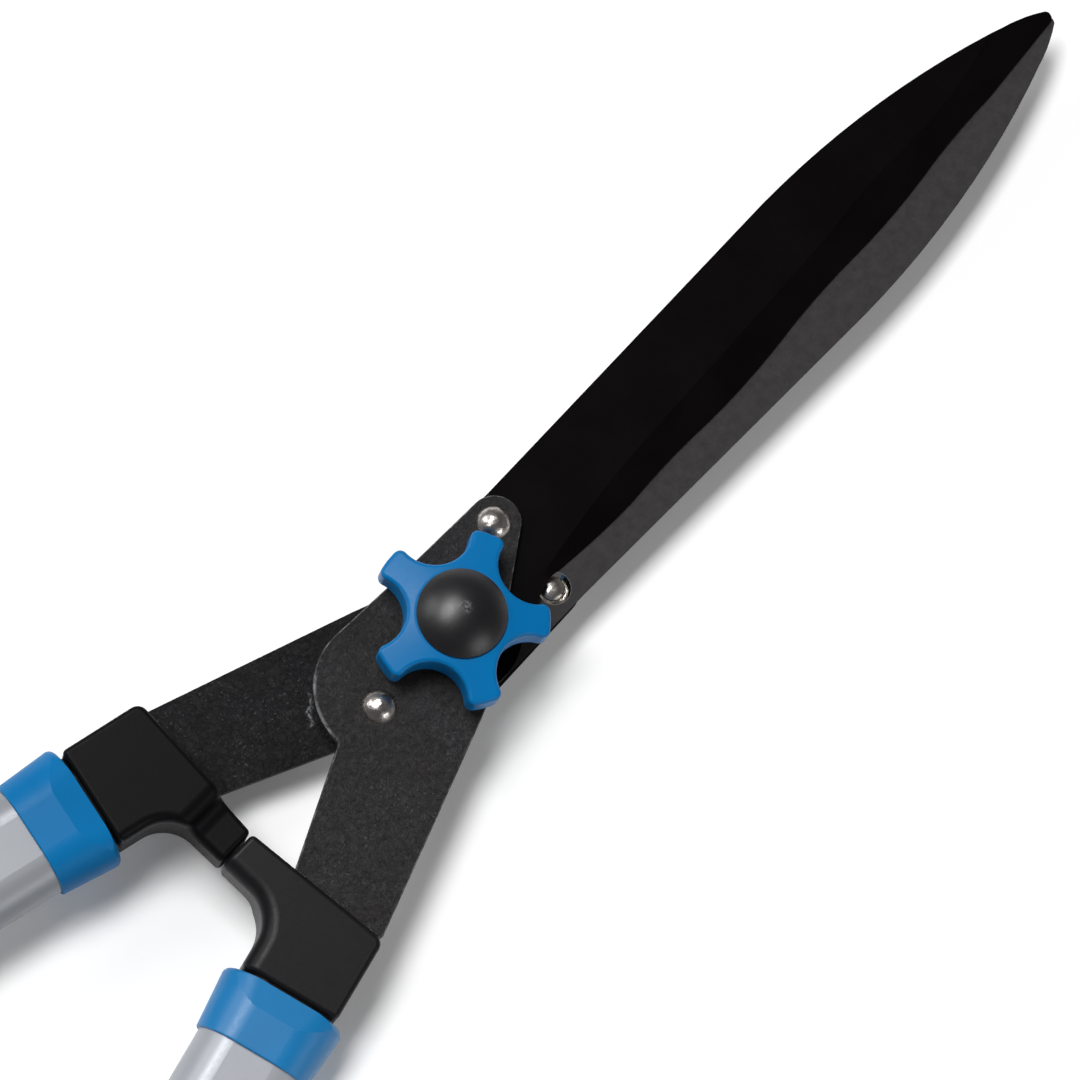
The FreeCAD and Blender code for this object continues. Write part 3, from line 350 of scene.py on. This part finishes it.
BRIGHT_GRAIN = {"grain": 1400.0, "depth": 0.00002}
materials = {
    "upper_blade": blade_steel("coated_blade_upper", 1),
    "lower_blade": blade_steel("coated_blade_lower", -1),
    # Where a material has an upper and a lower copy, they differ by painted light and shade: the upper
    # painted lighter.
    "upper_bracket": textured_coat("textured_coat_upper_lit", 1),
    "lower_bracket": textured_coat("textured_coat_lower_shaded", -1),
    "rivets": polished_metal("polished_rivets", (0.575, 0.535, 0.505), 0.26, dents=0.35 * MM),
    "zinc": polished_metal("zinc_plate", (0.62, 0.63, 0.64), 0.28),
    "brass": polished_metal("turned_brass", (0.72, 0.56, 0.30), 0.3),
    "upper_ferrule": moulded("black_nylon_upper_lit", (0.0078, 0.0072, 0.0083), 0.40, gloss=0.17),
    "lower_ferrule": moulded("black_nylon_lower_shaded", (0.0040, 0.0038, 0.0044), 0.40, gloss=0.07),
    "upper_collar": moulded("blue_collar_upper_lit", (0.004, 0.185, 0.455), 0.40, gloss=0.46, **BRIGHT_GRAIN),
    "lower_collar": moulded("blue_collar_lower_shaded", (0.003, 0.157, 0.400), 0.40, gloss=0.10, **BRIGHT_GRAIN),
    "knob": moulded("blue_knob", (0.001, 0.155, 0.410), 0.34, gloss=0.15, **BRIGHT_GRAIN),
    "cap": domed_cap("black_cap"),
    "upper_tube": anodised("anodised_tube_upper_lit", (0.365, 0.380, 0.410), (0.405, 0.420, 0.452)),
    "lower_tube": anodised("anodised_tube_lower_shaded", (0.268, 0.280, 0.302), (0.300, 0.312, 0.336)),
    "grip": moulded("soft_grip", (0.016, 0.016, 0.017), 0.7, gloss=0.3, grain=900.0, depth=0.0001),
}
# The material of each node of a half, {} being the half, and of the nodes at the pivot.
HALF_FINISHES = {
    "blade": "{}_blade", "bracket": "{}_bracket", "rivets": "rivets", "ferrule": "{}_ferrule",
    "tube": "{}_tube", "tube_pin": "zinc", "collar": "{}_collar", "grip_ring": "{}_collar",
    "grip": "grip", "end_cap": "{}_ferrule",
}
PIVOT_FINISHES = {
    "pivot_bolt": "zinc", "pivot_bush": "brass", "flat_washer": "zinc", "spring_washer": "zinc",
    "knob_nut": "zinc", "star_knob": "knob", "knob_cap": "cap",
}


def dress(node, material):
    slots = nodes[node].data.materials
    slots.clear()
    slots.append(material)


for half in HALVES:
    for piece, key in HALF_FINISHES.items():
        dress(f"{half}_{piece}", materials[key.format(half)])
for node, key in PIVOT_FINISHES.items():
    dress(node, materials[key])


# Grips.
SPLAY = math.radians(13.2)
GRIP_START, GRIP_LENGTH = 125.0 * MM, 122.0 * MM
# Width and height of the grip's hole, which the tube fills.
TUBE_HOLE = (32.6 * MM, 20.2 * MM)
# The grip's form: shares of its length, each with its width and height there in millimetres.
GRIP_FORM = ((0.0, 36.0, 24.6), (0.2, 35.0, 23.6), (0.55, 38.0, 27.6), (0.86, 36.0, 25.0), (1.0, 42.0, 28.0))
GRIP_STEPS = 240
END_GAP = 0.05 * MM
LIP_RADIUS = 1.4 * MM
SURFACE_INSET = 0.15 * MM
GROOVE_DEPTH = 1.0 * MM
# Along the grip, in millimetres: the grooves' spacing, width, first and last place, and run at each end.
GROOVE_PITCH, GROOVE_WIDTH, GROOVE_FIRST, GROOVE_LAST, GROOVE_RUN = 5.6, 2.6, 22.0, 95.0, 6.0
# Round the grip: how far up or down a surface faces where grooves begin, and how much more to full depth.
GROOVE_FACING, GROOVE_FACING_RUN = 0.35, 0.4


def handle_frame(side):
    """The matrix from a handle's own axes: x away from the other handle, y up on the upper half and
    down on the lower one, z back along the tube."""
    back = Vector((-math.cos(SPLAY), -side * math.sin(SPLAY), 0.0))
    up = Vector((0.0, 0.0, side))
    x, y = place_on(side, HANDLE_FOOT)
    return axes_matrix(up.cross(back), up, back, Vector((x, y, PIVOT.z - side * HANDLE_DROP * MM)))


def flat_oval(width, height, bends=22, flats=12):
    """Points of a flat oval with their outward directions."""
    reach, radius = (width - height) / 2, height / 2
    points = []
    for side in (1, -1):
        for step in range(bends):
            turn = -math.pi / 2 + math.pi * step / bends
            out = Vector((side * math.cos(turn), side * math.sin(turn)))
            points.append((Vector((side * reach, 0.0)) + out * radius, out))
        for step in range(flats):
            share = step / flats
            points.append((Vector((side * reach * (1 - 2 * share), side * radius)), Vector((0.0, side))))
    return points


def smooth(value):
    """0 to 1 with a level start and end."""
    value = min(max(value, 0.0), 1.0)
    return value * value * (3 - 2 * value)


def grip_size(share):
    """The grip's width and height: a smooth curve through its form."""
    for before, after in zip(GRIP_FORM, GRIP_FORM[1:]):
        if share <= after[0]:
            part = smooth((share - before[0]) / (after[0] - before[0]))
            return tuple((before[k] + (after[k] - before[k]) * part) * MM for k in (1, 2))


def groove(share, out):
    """How deep the cross grooves are: a row of them on the top and the underside."""
    station = share * GRIP_LENGTH / MM
    if not GROOVE_FIRST <= station <= GROOVE_LAST:
        return 0.0
    off_middle = abs((station - GROOVE_FIRST) % GROOVE_PITCH - GROOVE_PITCH / 2)
    if off_middle >= GROOVE_WIDTH / 2:
        return 0.0
    ends = smooth((station - GROOVE_FIRST) / GROOVE_RUN) * smooth((GROOVE_LAST - station) / GROOVE_RUN)
    flat_share = smooth((abs(out.y) - GROOVE_FACING) / GROOVE_FACING_RUN)
    return GROOVE_DEPTH * flat_share * ends * math.cos(math.pi * off_middle / GROOVE_WIDTH) ** 2


def grip_rings():
    """Rings of points along the grip, then two inside it, against the tube; each end is rolled in."""
    rings = []
    for step in range(GRIP_STEPS + 1):
        share = step / GRIP_STEPS
        station = GRIP_START + END_GAP + (GRIP_LENGTH - 2 * END_GAP) * share
        from_end = min(station - GRIP_START, GRIP_START + GRIP_LENGTH - station)
        in_lip = max(LIP_RADIUS - from_end, 0.0)
        inset = SURFACE_INSET + LIP_RADIUS - math.sqrt(LIP_RADIUS ** 2 - in_lip ** 2)
        ring = []
        for point, out in flat_oval(*grip_size(share)):
            spot = point - out * (inset + groove(share, out))
            ring.append(Vector((spot.x, spot.y, station)))
        rings.append(ring)
    for station in (GRIP_START + GRIP_LENGTH - END_GAP, GRIP_START + END_GAP):
        rings.append([Vector((point.x, point.y, station)) for point, _ in flat_oval(*TUBE_HOLE)])
    return rings


def soft_grip(half, side):
    """The soft grip that stands for the CAD's plain one."""
    place = handle_frame(side)
    mesh_maker = bmesh.new()
    verts = [[mesh_maker.verts.new(place @ point) for point in ring] for ring in grip_rings()]
    for ring, after in zip(verts, verts[1:] + verts[:1]):
        for index in range(len(ring)):
            other = (index + 1) % len(ring)
            mesh_maker.faces.new((ring[index], ring[other], after[other], after[index]))
    bmesh.ops.recalc_face_normals(mesh_maker, faces=mesh_maker.faces)
    mesh = bpy.data.meshes.new(f"{half}_soft_grip")
    mesh_maker.to_mesh(mesh)
    mesh_maker.free()
    mesh.shade_smooth()
    mesh.set_sharp_from_angle(angle=math.radians(50))
    piece = bpy.data.objects.new(f"{half}_soft_grip", mesh)
    bpy.context.scene.collection.objects.link(piece)
    mesh.materials.append(materials["grip"])
    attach(piece, f"{half}_half")
    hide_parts(f"{half}_grip")


for half, side in HALVES.items():
    soft_grip(half, side)


# Stage, light and camera.
WHITE = (1.0, 1.0, 1.0, 1.0)
# Name, azimuth and tilt in degrees, distance, size and power of each lamp, in metres and watts.
LAMPS = (
    ("key", 95.0, 23.0, 2.2, (1.4, 0.62), 45.5),
    ("side", 108.0, 56.0, 1.8, (0.8, 0.4), 6.4),
    ("fill", -95.0, 63.0, 1.6, (0.7, 0.5), 5.0),
)
FLOOR_REACH = 12.0
# The floor's seen glow grows from faint, near the object, to white where the lamps no longer reach.
GLOW_NEAR, GLOW_FAR, GLOW_FAINT = 0.42, 1.1, 0.10
# The world's strength by the Z of a direction: it goes from the first pair to the second.
SKY_LOW, SKY_HIGH = (0.35, 0.13), (0.97, 0.05)
# The photograph: its frame and focal length in pixels, the sensor's width, the camera's place about
# its target, which lies ahead of the pivot, and the angle of the closed blades in the picture.
FRAME_PIXELS, FOCAL_PIXELS, SENSOR = 1080.0, 3675.0, 36.0
CAMERA_AZIMUTH, CAMERA_TILT, CAMERA_DISTANCE = -169.5, 18.3, 1.05
TARGET_AHEAD = 37.75 * MM
BLADES_SLANT = math.radians(45.7)


def direction(azimuth, tilt):
    """A direction from its azimuth about +Z from +X and its tilt away from straight up, in degrees."""
    turn, lean = math.radians(azimuth), math.radians(tilt)
    return Vector((math.cos(turn) * math.sin(lean), math.sin(turn) * math.sin(lean), math.cos(lean)))


def area_light(name, azimuth, tilt, distance, size, power):
    data = bpy.data.lights.new(name, "AREA")
    data.shape = "RECTANGLE"
    data.size, data.size_y = size
    data.energy = power
    lamp = bpy.data.objects.new(name, data)
    bpy.context.scene.collection.objects.link(lamp)
    lamp.location = PIVOT + direction(azimuth, tilt) * distance
    lamp.rotation_euler = (PIVOT - lamp.location).to_track_quat("-Z", "Y").to_euler()


def floor():
    """A pale matt floor that keeps the shadow and is seen as white further off."""
    mesh = bpy.data.meshes.new("floor")
    corners = [(x * FLOOR_REACH, y * FLOOR_REACH, 0.0) for x, y in ((-1, -1), (1, -1), (1, 1), (-1, 1))]
    mesh.from_pydata(corners, [], [(0, 1, 2, 3)])
    plane = bpy.data.objects.new("floor", mesh)
    bpy.context.scene.collection.objects.link(plane)
    tree = Tree("pale_floor")
    tree.finish((0.96, 0.96, 0.96), 0.9, gloss=0.0)
    path = tree.add("ShaderNodeLightPath")
    seen = tree.math("MAXIMUM", path.outputs["Is Camera Ray"], path.outputs["Is Glossy Ray"])
    seen = tree.math("MAXIMUM", seen, path.outputs["Is Transmission Ray"])
    strength = tree.ramp(tree.length(*tree.offsets((0.0, 0.0))), GLOW_NEAR, GLOW_FAR, GLOW_FAINT, 1.0)
    glow = tree.add("ShaderNodeEmission")
    glow.inputs["Color"].default_value = WHITE
    tree.join(tree.product(seen, strength), glow.inputs["Strength"])
    total = tree.add("ShaderNodeAddShader")
    tree.join(tree.shader.outputs[0], total.inputs[0])
    tree.join(glow.outputs[0], total.inputs[1])
    tree.join(total.outputs[0], tree.nodes["Material Output"].inputs["Surface"])
    mesh.materials.append(tree.material)


def world():
    """A dim surround, a little brighter towards the horizon."""
    scene_world = bpy.data.worlds.new("studio")
    bpy.context.scene.world = scene_world
    scene_world.use_nodes = True
    tree = scene_world.node_tree
    sky = tree.nodes["Background"]
    sky.inputs["Color"].default_value = WHITE
    looking = tree.nodes.new("ShaderNodeTexCoord")
    parts = tree.nodes.new("ShaderNodeSeparateXYZ")
    height = tree.nodes.new("ShaderNodeMapRange")
    height.inputs["From Min"].default_value, height.inputs["To Min"].default_value = SKY_LOW
    height.inputs["From Max"].default_value, height.inputs["To Max"].default_value = SKY_HIGH
    tree.links.new(looking.outputs["Generated"], parts.inputs[0])
    tree.links.new(parts.outputs[2], height.inputs["Value"])
    tree.links.new(height.outputs["Result"], sky.inputs["Strength"])


def camera():
    """The photograph's view: almost from above, a little from the handles' side."""
    back = direction(CAMERA_AZIMUTH, CAMERA_TILT)
    right = (-back).cross(Vector((0, 1, 0))).normalized()
    up = right.cross(-back)
    blades = Vector((1, 0, 0))
    roll = BLADES_SLANT - math.atan2(blades.dot(up), blades.dot(right))
    side = math.cos(roll) * right - math.sin(roll) * up
    top = math.sin(roll) * right + math.cos(roll) * up
    data = bpy.data.cameras.new("photo_camera")
    data.sensor_width = SENSOR
    data.lens = SENSOR * FOCAL_PIXELS / FRAME_PIXELS
    data.clip_start, data.clip_end = 0.05, 20.0
    eye = bpy.data.objects.new("photo_camera", data)
    bpy.context.scene.collection.objects.link(eye)
    place = PIVOT + Vector((TARGET_AHEAD, 0.0, 0.0)) + back * CAMERA_DISTANCE
    eye.matrix_world = axes_matrix(side, top, back, place)
    bpy.context.scene.camera = eye


floor()
world()
for lamp in LAMPS:
    area_light(*lamp)
camera()
bpy.context.scene.view_settings.view_transform = "Standard"

bpy.context.view_layer.update()
